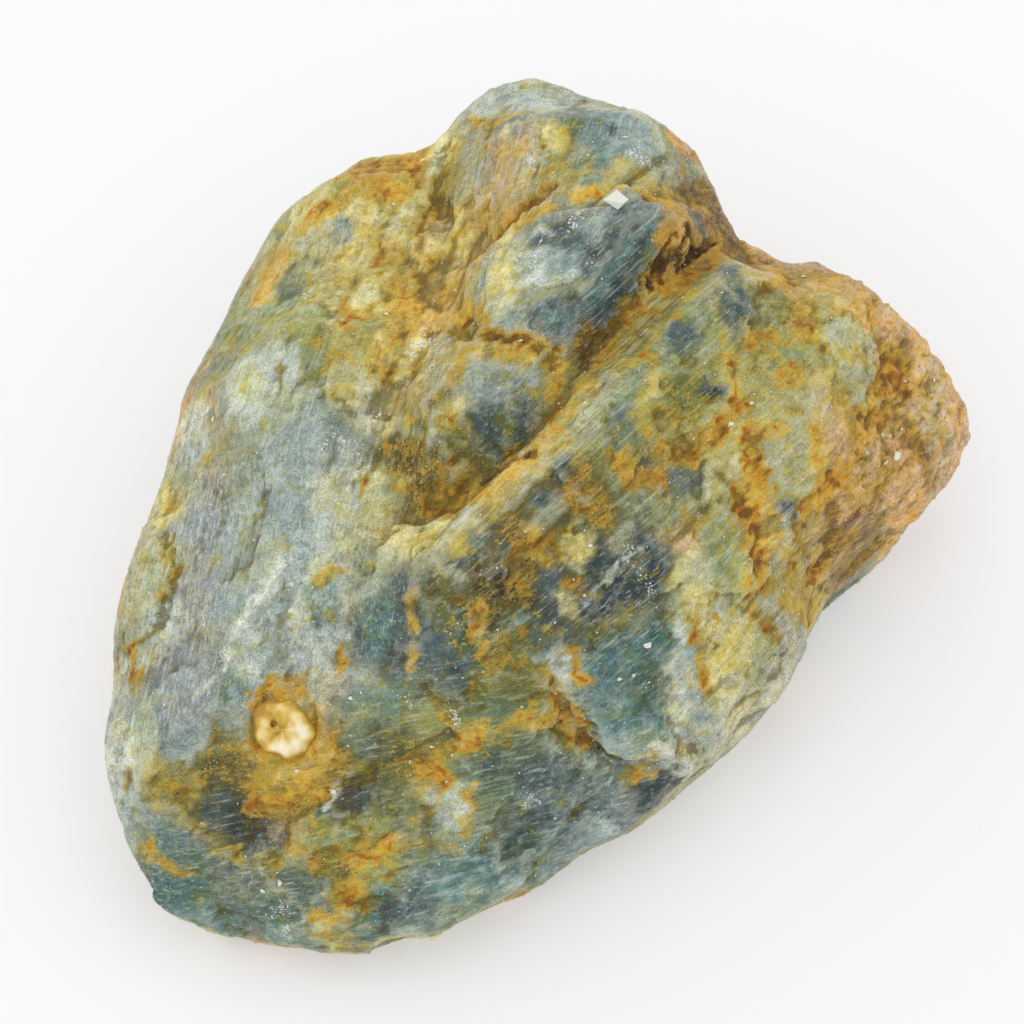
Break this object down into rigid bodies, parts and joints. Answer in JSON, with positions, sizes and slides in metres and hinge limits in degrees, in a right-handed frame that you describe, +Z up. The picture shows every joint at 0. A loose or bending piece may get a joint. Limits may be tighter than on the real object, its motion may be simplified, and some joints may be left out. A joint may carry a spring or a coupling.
{
  "type": "raw fluorite specimen",
  "caption": "Rough broken lump of massive blue-green fluorite with ochre iron staining, resting on a flat broken face.",
  "frame": {"origin": "middle of the stone's plan, on the flat broken face that it rests on", "axes": "+Z up from the resting face, +Y from the low front towards the lobe at the back, +X towards the rusty end"},
  "size_m": [0.0706, 0.071, 0.0335],
  "materials": {
    "fluorite": "raw cleaved and weathered fluorite, waxy to silky, stained ochre in the seams"
  },
  "bodies": {
    "root": {"fluorite": "fluorite"}
  },
  "joints": []
}
